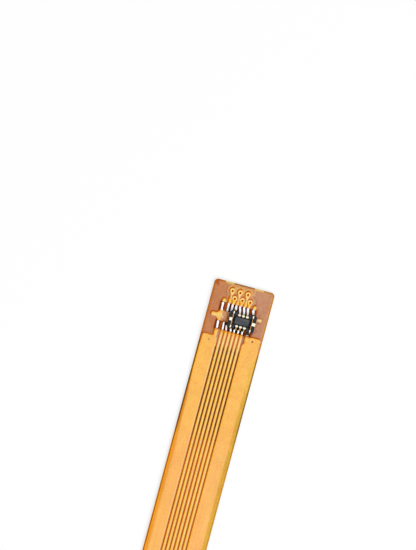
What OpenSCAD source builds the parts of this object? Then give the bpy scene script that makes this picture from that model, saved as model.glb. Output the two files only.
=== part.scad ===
// Flexible flat tester cable with a board-to-board socket soldered on its head.
// Millimetres. The cable lies flat along Y with its head towards +Y and the socket up.
// Places along the cable are given as the distance d behind the head edge.

/* [Cable] */
// Whole length from the head edge to the tail edge
cable_l = 60; // [40:1:150]
// Width of the cable
cable_w = 6.2; // [5.8:0.1:9]
// Radius of the outline's corners
corner_r = 0.4; // [0.1:0.05:1]
// Base film between the two copper layers
base_t = 0.05; // [0.025:0.005:0.1]
// Copper foil on each face of the base film
copper_t = 0.03; // [0.015:0.005:0.05]
// Film left over the copper on each face
cover_t = 0.04; // [0.025:0.005:0.1]

/* [Stiffeners] */
// Thickness of both stiffener plates
stiffener_t = 0.2; // [0.1:0.05:0.5]
// How far the head stiffener reaches behind the head edge
head_stiffener_l = 6.5; // [5:0.1:12]
// How far the tail stiffener reaches from the tail edge
tail_stiffener_l = 5.5; // [3:0.1:12]

/* [Conductors] */
// Spacing of the signal conductors, their pads and the socket contacts
pitch = 0.4; // [0.37:0.01:0.45]
// Width of a signal trace and of its pads
trace_w = 0.22; // [0.16:0.01:0.25]
// Shift of the signal group from the cable's centre line
group_shift = -0.1; // [-0.3:0.05:0.2]
// Bare film beside the left power band
left_margin = 0.15; // [0.1:0.05:0.5]
// Bare film beside the right power band at the head
head_margin = 0.2; // [0.1:0.05:0.4]
// Bare film beside the right power band along the cable
right_margin = 0.5; // [0.1:0.05:0.6]

/* [Pads] */
// From the head edge to the upper pad row
upper_pads_d = 2.1; // [1.9:0.05:3]
// Length of every pad
pad_l = 0.85; // [0.7:0.05:1]
// Clear space between the two pad rows
row_gap = 1.05; // [0.95:0.05:1.2]
// Width of the four power pads
power_pad_w = 0.3; // [0.24:0.02:0.36]
// From the outer signal pads to the power pads beside them
power_pad_step = 0.575; // [0.55:0.025:0.65]
// Bare base film left in a window beside the power pads
window_side = 0.15; // [0.05:0.05:0.25]

/* [Rings] */
// Outside diameter of a plated ring
ring_d = 0.45; // [0.42:0.01:0.46]
// Hole through a ring
ring_hole_d = 0.2; // [0.1:0.01:0.22]
// Plating on the wall of a hole
plating_t = 0.025; // [0.015:0.005:0.04]
// Film left over the rim of a ring
ring_lip = 0.03; // [0.02:0.01:0.05]
// From the near row of rings to the upper pads
ring_to_pads = 0.6; // [0.55:0.05:0.8]
// From one row of rings to the other
ring_row_step = 0.7; // [0.6:0.05:0.9]
// Width of the neck that joins a ring to its pad
neck_w = 0.12; // [0.08:0.01:0.16]

/* [Tail] */
// Bare length of the contact fingers
finger_l = 3; // [2:0.1:4]
// Width of a signal finger
finger_w = 0.26; // [0.2:0.01:0.3]
// Film left between the fingers and the tail edge
finger_end = 0.3; // [0.1:0.05:0.6]

/* [Socket] */
// Length of the housing across the cable
socket_l = 2.74; // [2.6:0.02:3]
// Width of the housing along the cable
socket_w = 1.7; // [1.6:0.02:1.9]
// Height of the housing
socket_h = 0.62; // [0.56:0.02:0.9]
// Sideways shift of the socket from its pads, as soldered
socket_shift_x = 0.1; // [-0.1:0.02:0.12]
// Shift of the socket from the middle of the pad rows towards the tail
socket_shift_d = 0.08; // [0:0.02:0.1]
// Thickness of the socket's sheet metal
sheet_t = 0.07; // [0.05:0.01:0.08]
// Width of a contact where it bends over the wall
contact_w = 0.26; // [0.2:0.01:0.26]
// Width of a contact's solder tail
contact_tail_w = 0.12; // [0.1:0.01:0.18]

/* [Hidden] */
$fn = 48;

// The socket's pad pattern fixes the number of signals, and its contacts take the last ones
signals = 6;
contacts = 3;

// Heights, from the stiffener's underside up
back_z = stiffener_t;
back_film_t = copper_t + cover_t;
back_copper_z = back_z + cover_t;
base_z = back_z + back_film_t;
top_z = base_z + base_t;
pad_z = top_z + copper_t;
film_top_z = pad_z + cover_t;

// Places along the cable, behind the head edge
near_ring_d = upper_pads_d - ring_to_pads;
far_ring_d = near_ring_d - ring_row_step;
upper_end_d = upper_pads_d + pad_l;
lower_pads_d = upper_end_d + row_gap;
lower_end_d = lower_pads_d + pad_l;
left_top_d = lower_end_d + 0.78;
right_top_d = lower_end_d;
finger_d = cable_l - finger_l;
tail_ring_d = finger_d - 0.6;
left_via_d = left_top_d + 0.46;
right_via_d = right_top_d + 0.38;
taper_d = right_top_d + 1.75;

// A neck widens to its pad under the film, and a ring's flanks run down to the neck at this angle
neck_root_d = upper_pads_d - 0.4;
neck_taper = 0.2;
flank_a = 20;

// Places across the cable
function signal_x(i) = group_shift + (i - (signals + 1) / 2) * pitch;
left_edge = -cable_w / 2 + left_margin;
right_edge = cable_w / 2 - right_margin;
right_head_edge = cable_w / 2 - head_margin;
trace_gap = pitch - trace_w;
left_band_x = signal_x(1) - trace_w / 2 - trace_gap;
right_band_x = signal_x(signals) + trace_w / 2 + trace_gap;
left_pad_x = signal_x(1) - power_pad_step;
right_pad_x = signal_x(signals) + power_pad_step;
left_via_x = (left_edge + left_band_x) / 2;
right_via_x = (right_band_x + right_head_edge) / 2 + 0.08;

// Socket, in its own frame: origin under its middle on the film, X across and Y to the head
socket_x = signal_x(signals - 1) + socket_shift_x;
socket_d = (upper_pads_d + lower_end_d) / 2 + socket_shift_d;
half_l = socket_l / 2;
half_w = socket_w / 2;
wall_t = 0.13;
wall_out = half_w - 0.22;
wall_in = wall_out - wall_t;
wall_mid = (wall_out + wall_in) / 2;
bend_z = socket_h - 0.02 - sheet_t - wall_t / 2;
floor_t = 0.12;
end_in = (contacts - 1) / 2 * pitch + contact_w / 2 + 0.11;
bar_x = half_l - 0.37;
bar_in = bar_x - sheet_t / 2;
bar_out = bar_x + sheet_t / 2;
island_l = 2 * bar_in - 0.49;
island_w = 2 * wall_in - 0.32;
island_z = socket_h - 0.12;
notch_x = half_l - 0.25;
notch_w = 0.4;
tab_w = 0.3;
tab_x = half_l + 0.06;
bar_top = socket_h - 0.06;
bar_low = bar_top - 0.12;
tab_r = 0.18;
tip_w = sheet_t + 0.04;
tip_in = half_w - 0.25;
head_d = wall_t + 2 * sheet_t + 0.01;
short_pad_l = pad_l - 0.46;
foot_z = pad_z + 0.015 - film_top_z;
foot_end = half_w + 0.13;
solder_r = 0.16;
joint_r = 0.125;

// y of a place d behind the head edge
function yd(d) = cable_l / 2 - d;

// Rings alternate between the far row and the near row, at the head and at the tail
function head_ring_d(i) = i % 2 == 1 ? far_ring_d : near_ring_d;
function tail_ring_at(i) = tail_ring_d - (i % 2 == 1 ? ring_row_step : 0);

// Flat rectangle from x0 to x1 across the cable and from d0 to d1 along it
module patch(x0, x1, d0, d1) {
  translate([x0, yd(d1)]) square([x1 - x0, d1 - d0]);
}

// Flat strip of width w centred on x
module strip(x, w, d0, d1) {
  patch(x - w / 2, x + w / 2, d0, d1);
}

module disc(x, d, dia) {
  translate([x, yd(d)]) circle(d = dia);
}

// Flat polygon through points given as [x, d]
module plate(points) {
  polygon([for (p = points) [p[0], yd(p[1])]]);
}

module outline() {
  square([cable_w - 2 * corner_r, cable_l], center = true);
  square([cable_w, cable_l - 2 * corner_r], center = true);
  for (sx = [-1, 1], sy = [-1, 1])
    translate([sx * (cable_w / 2 - corner_r), sy * (cable_l / 2 - corner_r)]) circle(corner_r);
}

// Window over one row of pads
module window(d0) {
  patch(left_pad_x - power_pad_w / 2 - window_side, right_pad_x + power_pad_w / 2 + window_side,
    d0, d0 + pad_l);
}

// A disc on every ring, at the head and at the tail
module on_rings(dia) {
  for (i = [1:signals]) {
    disc(signal_x(i), head_ring_d(i), dia);
    disc(signal_x(i), tail_ring_at(i), dia);
  }
}

// Copper wall of one plated hole through the base film
module plated_wall(x, d) {
  translate([0, 0, base_z]) linear_extrude(base_t) difference() {
    disc(x, d, ring_hole_d + 2 * plating_t);
    disc(x, d, ring_hole_d);
  }
}

module base_film() {
  color([0.62, 0.36, 0.16]) translate([0, 0, base_z]) linear_extrude(base_t) difference() {
    outline();
    on_rings(ring_hole_d + 2 * plating_t);
    disc(left_via_x, left_via_d, ring_hole_d + 2 * plating_t);
    disc(right_via_x, right_via_d, ring_hole_d + 2 * plating_t);
  }
}

// The cover film stops short of the fingers and has two shallow notches at the head edge,
// where the strip was held in its panel. It closes the left power hole and leaves the right one open.
module cover_sheet() {
  difference() {
    intersection() {
      outline();
      patch(-cable_w, cable_w, -1, finger_d);
    }
    window(upper_pads_d);
    window(lower_pads_d);
    on_rings(ring_d - 2 * ring_lip);
    disc(right_via_x, right_via_d, ring_hole_d);
    strip(-0.25 * cable_w, 0.9, -1, 0.2);
    strip(0.24 * cable_w, 0.9, -1, 0.2);
  }
}

module cover_film() {
  color([0.85, 0.55, 0.2, 0.6]) difference() {
    translate([0, 0, top_z]) linear_extrude(copper_t + cover_t) cover_sheet();
    translate([0, 0, top_z]) linear_extrude(copper_t) {
      left_power_art();
      right_power_art();
      for (i = [1:signals]) {
        upper_art(i);
        lower_art(i);
      }
    }
  }
}

module back_cover_film() {
  color([0.75, 0.45, 0.15]) difference() {
    translate([0, 0, back_z]) linear_extrude(back_film_t) outline();
    translate([0, 0, back_copper_z]) linear_extrude(copper_t) {
      left_back_art();
      right_back_art();
      for (i = [1:signals]) back_art(i);
    }
  }
}

module head_stiffener() {
  color([0.55, 0.33, 0.2]) linear_extrude(stiffener_t) intersection() {
    outline();
    patch(-cable_w, cable_w, -1, head_stiffener_l);
  }
}

module tail_stiffener() {
  color([0.55, 0.33, 0.2]) linear_extrude(stiffener_t) intersection() {
    outline();
    patch(-cable_w, cable_w, cable_l - tail_stiffener_l, cable_l + 1);
  }
}

// Ring drawn out like a drop, with straight flanks that end at a neck of width w
module drop(x, d, w) {
  flank_x = ring_d / 2 * cos(flank_a);
  flank_d = d + ring_d / 2 * sin(flank_a);
  end_d = flank_d + (flank_x - w / 2) / tan(flank_a);
  disc(x, d, ring_d);
  plate([[x - flank_x, flank_d], [x - w / 2, end_d], [x + w / 2, end_d], [x + flank_x, flank_d]]);
}

// Pad and ring of an upper signal. A far ring has a tapered neck, and a near ring runs into its pad.
module upper_art(i) {
  x = signal_x(i);
  d = head_ring_d(i);
  far = i % 2 == 1;
  difference() {
    union() {
      drop(x, d, far ? neck_w : trace_w);
      strip(x, trace_w, far ? neck_root_d : d + ring_d / 2 + 0.03, upper_end_d);
      if (far) {
        strip(x, neck_w, d, neck_root_d);
        plate([[x - trace_w / 2, neck_root_d], [x - neck_w / 2, neck_root_d - neck_taper],
          [x + neck_w / 2, neck_root_d - neck_taper], [x + trace_w / 2, neck_root_d]]);
      }
    }
    disc(x, d, ring_hole_d);
  }
}

// Trace under the base film, from the head ring to the tail ring
module back_art(i) {
  x = signal_x(i);
  difference() {
    union() {
      disc(x, head_ring_d(i), ring_d);
      strip(x, neck_w, head_ring_d(i), upper_pads_d);
      strip(x, trace_w, upper_pads_d - 0.1, tail_ring_at(i));
      disc(x, tail_ring_at(i), ring_d);
    }
    disc(x, head_ring_d(i), ring_hole_d);
    disc(x, tail_ring_at(i), ring_hole_d);
  }
}

// Pad, trace, tail ring and finger of a lower signal. The pads under the socket's contacts are short.
module lower_art(i) {
  x = signal_x(i);
  start_d = i > beside ? lower_end_d - short_pad_l : lower_pads_d;
  difference() {
    union() {
      strip(x, trace_w, start_d, finger_d);
      disc(x, tail_ring_at(i), ring_d);
      strip(x, finger_w, finger_d - 0.25, cable_l - finger_end);
    }
    disc(x, tail_ring_at(i), ring_hole_d);
  }
}

// Power pads and the web between them, with a rounded tip over the upper pad
module power_pads(x, d_end) {
  strip(x, power_pad_w, upper_pads_d - 0.22, d_end);
  disc(x, upper_pads_d - 0.22, power_pad_w);
}

module left_power_art() {
  mid = (upper_end_d + lower_pads_d) / 2;
  tip = left_edge + 0.37;
  r = 0.2;
  difference() {
    union() {
      power_pads(left_pad_x, left_top_d + 0.5);
      // Side arm with widened root
      patch(tip + 0.1, left_pad_x, mid - 0.18, mid + 0.18);
      patch(tip, left_pad_x, mid - 0.1, mid + 0.1);
      disc(tip + 0.1, mid - 0.08, 0.2);
      disc(tip + 0.1, mid + 0.08, 0.2);
      plate([[left_pad_x, mid - 0.42], [left_pad_x - power_pad_w / 2, mid - 0.42],
        [left_pad_x - power_pad_w / 2 - 0.24, mid - 0.18], [left_pad_x, mid - 0.18]]);
      plate([[left_pad_x, mid + 0.42], [left_pad_x - power_pad_w / 2, mid + 0.42],
        [left_pad_x - power_pad_w / 2 - 0.24, mid + 0.18], [left_pad_x, mid + 0.18]]);
      // Band, its rounded shoulder and the flare up to the neck
      patch(left_edge, left_pad_x + 0.1, left_top_d + r, cable_l - finger_end);
      patch(left_edge + r, left_pad_x + 0.1, left_top_d, left_top_d + 2 * r);
      disc(left_edge + r, left_top_d + r, 2 * r);
      plate([[left_pad_x, left_top_d], [left_pad_x + power_pad_w / 2, left_top_d],
        [left_band_x, left_top_d + 0.9], [left_band_x, cable_l - finger_end],
        [left_pad_x, cable_l - finger_end]]);
      difference() {
        patch(left_pad_x - power_pad_w / 2 - 0.18, left_pad_x, left_top_d - 0.18, left_top_d + 0.1);
        disc(left_pad_x - power_pad_w / 2 - 0.18, left_top_d - 0.18, 0.36);
      }
    }
    disc(left_via_x, left_via_d, ring_hole_d);
  }
}

module right_power_art() {
  r = 0.22;
  difference() {
    union() {
      power_pads(right_pad_x, right_top_d + 0.5);
      // Side stub
      patch(right_pad_x, right_head_edge - 0.45, upper_end_d - 0.1, upper_end_d + 0.2);
      // Band with a sloping shoulder, a rounded corner and the step in to the traces
      plate([[right_pad_x - 0.1, right_top_d + 0.18], [right_pad_x + 0.52, right_top_d],
        [right_head_edge - r, right_top_d], [right_head_edge - r, right_top_d + r],
        [right_head_edge, right_top_d + r], [right_head_edge, taper_d],
        [right_edge, taper_d + 0.7], [right_edge, cable_l - finger_end],
        [right_band_x, cable_l - finger_end], [right_band_x, right_top_d + 0.95],
        [right_pad_x - 0.1, right_top_d + 0.7]]);
      disc(right_head_edge - r, right_top_d + r, 2 * r);
    }
    disc(right_via_x, right_via_d, ring_hole_d);
  }
}

// Power bands under the base film
module left_back_art() {
  difference() {
    patch(left_edge, left_band_x, left_top_d, cable_l - finger_end);
    disc(left_via_x, left_via_d, ring_hole_d);
  }
}

module right_back_art() {
  difference() {
    patch(right_band_x, right_edge, right_top_d, cable_l - finger_end);
    disc(right_via_x, right_via_d, ring_hole_d);
  }
}

module left_power_conductor() {
  color([0.95, 0.6, 0.25]) {
    translate([0, 0, top_z]) linear_extrude(copper_t) left_power_art();
    plated_wall(left_via_x, left_via_d);
    translate([0, 0, back_copper_z]) linear_extrude(copper_t) left_back_art();
  }
}

module right_power_conductor() {
  color([0.95, 0.6, 0.25]) {
    translate([0, 0, top_z]) linear_extrude(copper_t) right_power_art();
    plated_wall(right_via_x, right_via_d);
    translate([0, 0, back_copper_z]) linear_extrude(copper_t) right_back_art();
  }
}

// The upper signal goes down its head ring and back along the underside
module upper_conductor(i) {
  color([0.95, 0.65, 0.3]) {
    translate([0, 0, top_z]) linear_extrude(copper_t) upper_art(i);
    plated_wall(signal_x(i), head_ring_d(i));
    translate([0, 0, back_copper_z]) linear_extrude(copper_t) back_art(i);
  }
}

// The lower signal stays on top, and its tail ring meets the trace underneath
module lower_conductor(i) {
  color([0.95, 0.65, 0.3]) {
    translate([0, 0, top_z]) linear_extrude(copper_t) lower_art(i);
    plated_wall(signal_x(i), tail_ring_at(i));
  }
}

module at_socket() {
  translate([socket_x, yd(socket_d), film_top_z]) children();
}

// Box from x0 to x1, y0 to y1 and z0 to z1
module block(x0, x1, y0, y1, z0, z1) {
  translate([x0, y0, z0]) cube([x1 - x0, y1 - y0, z1 - z0]);
}

// Profile in Y and Z, drawn over a width w in X
module across(w) {
  translate([-w / 2, 0, 0]) rotate([90, 0, 90]) linear_extrude(w) children();
}

module socket_housing() {
  color([0.13, 0.14, 0.16]) at_socket() difference() {
    union() {
      // Floor and end parts
      block(-half_l, half_l, -wall_out, wall_out, 0, floor_t);
      for (s = [0, 180]) rotate(s) {
        block(end_in, half_l, -half_w, half_w, 0, floor_t);
        block(bar_out, half_l, -half_w, half_w, 0, socket_h);
        for (m = [-1, 1]) {
          y0 = m > 0 ? wall_in : -half_w;
          y1 = m > 0 ? half_w : -wall_in;
          block(end_in, bar_in, y0, y1, 0, socket_h - 0.04);
        }
      }
      // Long walls with rounded tops, which the contacts are bent over
      for (s = [0, 180]) rotate(s) across(2 * end_in + 0.04) {
        translate([wall_in, 0]) square([wall_t, bend_z]);
        translate([wall_mid, bend_z]) circle(d = wall_t);
      }
      // Island
      block(-island_l / 2, island_l / 2, -island_w / 2, island_w / 2, 0, island_z);
    }
    for (s = [0, 180]) rotate(s) {
      // Seat of the end bar, wider at its tips
      block(bar_in, bar_out, -half_w - 1, half_w + 1, floor_t, socket_h + 1);
      for (m = [0, 1]) mirror([0, m, 0])
        block(bar_x - tip_w / 2, bar_x + tip_w / 2, tip_in, half_w + 1, bar_low, socket_h + 1);
      // Notch that the end tab comes down in, and the lower wall that it bends over
      block(notch_x, half_l + 1, -notch_w / 2, notch_w / 2, -1, socket_h + 1);
      block(bar_x, notch_x + 0.1, -notch_w / 2, notch_w / 2, bar_top - sheet_t, socket_h + 1);
      // Bevels on the outer corners
      for (m = [-1, 1]) translate([half_l, m * half_w, -1]) rotate(45)
        cube([0.16, 0.16, 2 * (socket_h + 2)], center = true);
    }
    // Bevel round the island's top
    for (s = [0, 180]) rotate(s) translate([0, island_w / 2, island_z]) rotate([45, 0, 0])
      cube([island_l, 0.06, 0.06], center = true);
  }
}

// Contact bent over the long wall on the head side, its profile in Y and Z
module contact_bend() {
  translate([wall_in - sheet_t, floor_t + 0.05]) square([sheet_t, bend_z - floor_t - 0.05]);
  translate([wall_mid, bend_z]) difference() {
    circle(d = wall_t + 2 * sheet_t);
    circle(d = wall_t);
    translate([-1, -2]) square([2, 2]);
  }
  translate([wall_out, 0.14]) square([sheet_t, bend_z - 0.14]);
  // Rounded point that touches the mating contact
  translate([wall_in - sheet_t, 0.55 * bend_z]) circle(d = 0.07);
}

module contact_foot() {
  r = 0.05;
  translate([wall_out, foot_z + sheet_t + r]) square([sheet_t, 0.16 - foot_z - sheet_t - r]);
  translate([wall_out + sheet_t + r, foot_z + sheet_t + r]) intersection() {
    difference() {
      circle(r + sheet_t);
      circle(r);
    }
    translate([-1, -1]) square(1);
  }
  translate([wall_out + sheet_t + r, foot_z]) square([foot_end - wall_out - sheet_t - r, sheet_t]);
}

// The bend is rounded off as seen from above, and a narrower tail leads out to the solder
module contact() {
  intersection() {
    across(contact_w) contact_bend();
    translate([0, wall_mid, 0]) cylinder(d = head_d, h = socket_h);
  }
  across(contact_tail_w) {
    translate([wall_out, 0.14]) square([sheet_t, bend_z - 0.14]);
    contact_foot();
  }
}

module upper_contact(i) {
  color([0.93, 0.82, 0.55]) at_socket()
    translate([(i - (contacts + 1) / 2) * pitch, 0, 0]) contact();
}

module lower_contact(i) {
  color([0.93, 0.82, 0.55]) at_socket()
    translate([(i - (contacts + 1) / 2) * pitch, 0, 0]) mirror([0, 1, 0]) contact();
}

// Upright bar across the socket's end, sunk between its wide raised tips and its middle, with a foot
// at each end and a tab that bends out over the end wall and down to the film
module terminal() {
  block(bar_in, bar_out, -half_w, half_w, floor_t, bar_low);
  block(bar_in, bar_out, -notch_w / 2, notch_w / 2, floor_t, bar_top);
  for (m = [0, 1]) mirror([0, m, 0]) {
    block(bar_x - tip_w / 2, bar_x + tip_w / 2, tip_in, half_w - 0.01, bar_low, socket_h - 0.02);
    block(bar_in, bar_out, half_w, half_w + sheet_t, foot_z, bar_low);
    block(bar_in - 0.03, bar_out + 0.03, half_w + 0.01, foot_end, foot_z, foot_z + sheet_t);
  }
  block(bar_x, tab_x - tab_r, -tab_w / 2, tab_w / 2, bar_top - sheet_t, bar_top);
  translate([tab_x - tab_r, tab_w / 2, bar_top - tab_r]) rotate([90, 0, 0]) linear_extrude(tab_w)
    intersection() {
      difference() {
        circle(tab_r);
        circle(tab_r - sheet_t);
      }
      square(1);
    }
  block(tab_x - sheet_t, tab_x, -tab_w / 2, tab_w / 2, 0, bar_top - tab_r);
}

module left_terminal() {
  color([0.93, 0.82, 0.55]) at_socket() mirror([1, 0, 0]) terminal();
}

module right_terminal() {
  color([0.93, 0.82, 0.55]) at_socket() terminal();
}

// Round-ended bead of radius r from one place to another, sunk so that it stands h over the pads
module bead(x0, d0, x1, d1, r, h) {
  len = norm([x1 - x0, d1 - d0]);
  intersection() {
    translate([x0, yd(d0), pad_z + h - r]) rotate(atan2(d0 - d1, x1 - x0)) {
      sphere(r);
      rotate([0, 90, 0]) cylinder(r = r, h = len);
      translate([len, 0, 0]) sphere(r);
    }
    translate([-cable_w, yd(cable_l), pad_z]) cube([2 * cable_w, cable_l, 1]);
  }
}

// Tinned pad with nothing soldered to it
module tinned(x, d) {
  bead(x, d + 0.11, x, d + pad_l - 0.11, solder_r, cover_t - 0.005);
}

// Joint that reaches from a pad over to the metal foot beside it, and at a contact on to its heel
module upper_joint(x, x1, reach = 0) {
  bead(x - 0.03, upper_pads_d + 0.13, x1, socket_d - half_w - 0.13 + reach, joint_r, 0.11);
}

module lower_joint(x, x1) {
  bead(x, lower_end_d - 0.13, x1 - 0.02, socket_d + half_w + 0.16, joint_r, 0.11);
}

// Signal beside the socket's first contact, which the left terminal is soldered to
beside = signals - contacts;

module feet() {
  for (i = [1:contacts]) {
    upper_contact(i);
    lower_contact(i);
  }
  left_terminal();
  right_terminal();
}

module upper_row_solder() {
  color([0.85, 0.86, 0.88]) difference() {
    union() {
      tinned(left_pad_x, upper_pads_d);
      for (i = [1:beside - 1]) tinned(signal_x(i), upper_pads_d);
      upper_joint(signal_x(beside), socket_x - bar_x);
      for (i = [1:contacts])
        upper_joint(signal_x(beside + i), socket_x + (i - (contacts + 1) / 2) * pitch, 0.18);
      upper_joint(right_pad_x, socket_x + bar_x);
    }
    feet();
  }
}

module lower_row_solder() {
  color([0.85, 0.86, 0.88]) difference() {
    union() {
      tinned(left_pad_x, lower_pads_d);
      for (i = [1:beside - 1]) tinned(signal_x(i), lower_pads_d);
      lower_joint(signal_x(beside), socket_x - bar_x);
      for (i = [1:contacts])
        lower_joint(signal_x(beside + i), socket_x + (i - (contacts + 1) / 2) * pitch);
      lower_joint(right_pad_x, socket_x + bar_x);
    }
    feet();
  }
}

base_film();
cover_film();
back_cover_film();
head_stiffener();
tail_stiffener();
left_power_conductor();
right_power_conductor();
for (i = [1:signals]) upper_conductor(i);
for (i = [1:signals]) lower_conductor(i);
socket_housing();
for (i = [1:contacts]) upper_contact(i);
for (i = [1:contacts]) lower_contact(i);
left_terminal();
right_terminal();
upper_row_solder();
lower_row_solder();
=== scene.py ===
"""Dresses the flexible tester cable: films with ridges over the copper, plated rings and fingers,
solder beads and the socket's moulded and sheet-metal pieces. Sizes are in millimetres."""
import math

import bmesh
import bpy
import numpy as np
from mathutils import Matrix, Vector


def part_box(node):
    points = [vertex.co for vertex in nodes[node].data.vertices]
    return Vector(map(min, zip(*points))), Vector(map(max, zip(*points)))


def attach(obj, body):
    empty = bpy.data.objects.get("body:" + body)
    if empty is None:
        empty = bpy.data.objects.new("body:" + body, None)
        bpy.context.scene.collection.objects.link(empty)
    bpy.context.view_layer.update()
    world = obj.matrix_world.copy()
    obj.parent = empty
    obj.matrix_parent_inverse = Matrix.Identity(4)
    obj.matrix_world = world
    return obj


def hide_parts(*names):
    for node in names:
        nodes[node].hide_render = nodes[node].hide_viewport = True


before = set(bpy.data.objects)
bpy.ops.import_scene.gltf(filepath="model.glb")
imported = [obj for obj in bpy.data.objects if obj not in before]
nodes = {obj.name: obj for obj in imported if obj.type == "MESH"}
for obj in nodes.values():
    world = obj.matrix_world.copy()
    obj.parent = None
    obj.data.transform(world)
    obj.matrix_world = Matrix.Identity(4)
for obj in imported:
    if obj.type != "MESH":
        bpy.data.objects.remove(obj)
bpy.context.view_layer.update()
scene = bpy.context.scene
scene.view_settings.view_transform = "Standard"

MM = 0.001
SIGNALS = range(1, 7)


def corner(name, which, axis):
    """One coordinate of a node's box in millimetres: which is 0 for low, 1 for high."""
    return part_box(name)[which][axis] / MM


def middle_x(name):
    return (corner(name, 0, 0) + corner(name, 1, 0)) / 2


# Heights and outline, from the CAD nodes: d is the distance behind the head edge
BASE_Z, TOP_Z = corner("base_film", 0, 2), corner("base_film", 1, 2)
PAD_Z = corner("lower_conductor_1", 1, 2)
FILM_Z = corner("cover_film", 1, 2)
BACK_Z = corner("back_cover_film", 0, 2)
HALF_W, HALF_L = corner("base_film", 1, 0), corner("base_film", 1, 1)
CORNER_R = 0.4
COPPER_T = PAD_Z - TOP_Z
END_D = 2 * HALF_L
FINGER_D = HALF_L - corner("cover_film", 0, 1)
HEAD_D = HALF_L - corner("head_stiffener", 0, 1)

# Signal artwork, from the part's source
PITCH, TRACE, NECK = 0.4, 0.22, 0.12
RING_D, HOLE_D, RING_LIP = 0.45, 0.2, 0.03
UPPER, PAD_L, ROW_GAP = 2.1, 0.85, 1.05
UPPER_END = UPPER + PAD_L
LOWER = UPPER_END + ROW_GAP
LOWER_END = LOWER + PAD_L
MID_ROWS = (UPPER_END + LOWER) / 2
SHORT_PAD = PAD_L - 0.46  # pads beside the socket's lower contacts
NECK_ROOT, NECK_TAPER, FLANK = UPPER - 0.4, 0.2, math.radians(20)
NEAR_ROOT = RING_D / 2 + 0.03  # where a near ring's trace has its full width
OPENING_R = RING_D / 2 - RING_LIP
FINGER_W, FINGER_END = 0.26, END_D - 0.3
SIGNAL_X = {i: middle_x(f"upper_conductor_{i}") for i in SIGNALS}
SIGNALS_MID = (SIGNAL_X[1] + SIGNAL_X[6]) / 2
HEAD_RING = {i: HALF_L - corner(f"upper_conductor_{i}", 1, 1) + RING_D / 2 for i in SIGNALS}
TAIL_RING = {i: HALF_L - corner(f"upper_conductor_{i}", 0, 1) - RING_D / 2 for i in SIGNALS}
RINGS = [(SIGNAL_X[i], ring_d[i]) for ring_d in (HEAD_RING, TAIL_RING) for i in SIGNALS]

# Power artwork: bands, pads, closed and open hole, and the windows over all pads
POWER_PAD, POWER_STEP, WINDOW_SIDE = 0.3, 0.575, 0.15
LEFT_EDGE = corner("left_power_conductor", 0, 0)
LEFT_BAND = SIGNAL_X[1] - TRACE / 2 - (PITCH - TRACE)
RIGHT_BAND = SIGNAL_X[6] + TRACE / 2 + (PITCH - TRACE)
RIGHT_HEAD = corner("right_power_conductor", 1, 0)
RIGHT_EDGE = HALF_W - 0.5
LEFT_PAD, RIGHT_PAD = SIGNAL_X[1] - POWER_STEP, SIGNAL_X[6] + POWER_STEP
LEFT_TOP, RIGHT_TOP = LOWER_END + 0.78, LOWER_END
LEFT_VIA = ((LEFT_EDGE + LEFT_BAND) / 2, LEFT_TOP + 0.46)
RIGHT_VIA = ((RIGHT_BAND + RIGHT_HEAD) / 2 + 0.08, RIGHT_TOP + 0.38)
TAPER, TAPER_L = RIGHT_TOP + 1.75, 0.7
WINDOW_X = (LEFT_PAD - POWER_PAD / 2 - WINDOW_SIDE, RIGHT_PAD + POWER_PAD / 2 + WINDOW_SIDE)
WINDOWS = [(*WINDOW_X, UPPER, UPPER_END), (*WINDOW_X, LOWER, LOWER_END)]
PADS = [(SIGNAL_X[i], TRACE) for i in SIGNALS] + [(LEFT_PAD, POWER_PAD), (RIGHT_PAD, POWER_PAD)]
NOTCH_W, NOTCH_D = 0.9, 0.2
NOTCHES = [(k * 2 * HALF_W - NOTCH_W / 2, k * 2 * HALF_W + NOTCH_W / 2) for k in (-0.25, 0.24)]

# Socket
SOCKET_X = SIGNAL_X[5] + 0.1
SOCKET_D = (UPPER + LOWER_END) / 2 + 0.08
SOCKET_HALF_W = 0.85
CONTACT_X = {4: SOCKET_X - PITCH, 5: SOCKET_X, 6: SOCKET_X + PITCH}


# Building blocks of the materials


def fill(m, inputs, values):
    """Gives inputs their values: numbers, colours or other sockets."""
    for key, value in values.items():
        if isinstance(value, bpy.types.NodeSocket):
            m.node_tree.links.new(value, inputs[key])
        else:
            inputs[key].default_value = (*value, 1) if inputs[key].type == "RGBA" else value


def node(m, kind, values, **settings):
    """New shader node with its settings and the values of its inputs."""
    n = m.node_tree.nodes.new("ShaderNode" + kind)
    for key, value in settings.items():
        setattr(n, key, value)
    fill(m, n.inputs, values)
    return n


def shade(m, values):
    fill(m, m.node_tree.nodes["Principled BSDF"].inputs, values)


def material(name, colour, rough, metal=0.0, specular=0.5):
    m = bpy.data.materials.new(name)
    m.use_nodes = True
    m.diffuse_color = (*colour, 1)
    shade(m, {"Base Color": colour, "Roughness": rough, "Metallic": metal, "Specular IOR Level": specular})
    return m


def coords(m, scale):
    """Coordinates of the part's own frame, times a scale."""
    own = node(m, "TexCoord", {}).outputs["Object"]
    return node(m, "Mapping", {"Vector": own, "Scale": scale}).outputs["Vector"]


def noise(m, size, detail=4.0, rough=0.55, stretch=(1, 1, 1)):
    """Noise whose blotches are about size millimetres across."""
    at = coords(m, tuple(1 / (size * MM * s) for s in stretch))
    values = {"Vector": at, "Scale": 1.0, "Detail": detail, "Roughness": rough}
    return node(m, "TexNoise", values).outputs["Fac"]


def ramp(m, value, low, high, start=0.3, end=0.7):
    """Runs from low to high while value runs from start to end."""
    values = {"Value": value, "From Min": start, "From Max": end, "To Min": low, "To Max": high}
    return node(m, "MapRange", values).outputs["Result"]


def maths(m, operation, *values):
    return node(m, "Math", dict(enumerate(values)), operation=operation).outputs[0]


def blend(m, fac, a, b, mode="MIX"):
    """Colour mix: a and b are sockets or colours."""
    values = {0: fac, 6: a, 7: b}
    return node(m, "Mix", values, data_type="RGBA", blend_type=mode).outputs[2]


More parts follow.
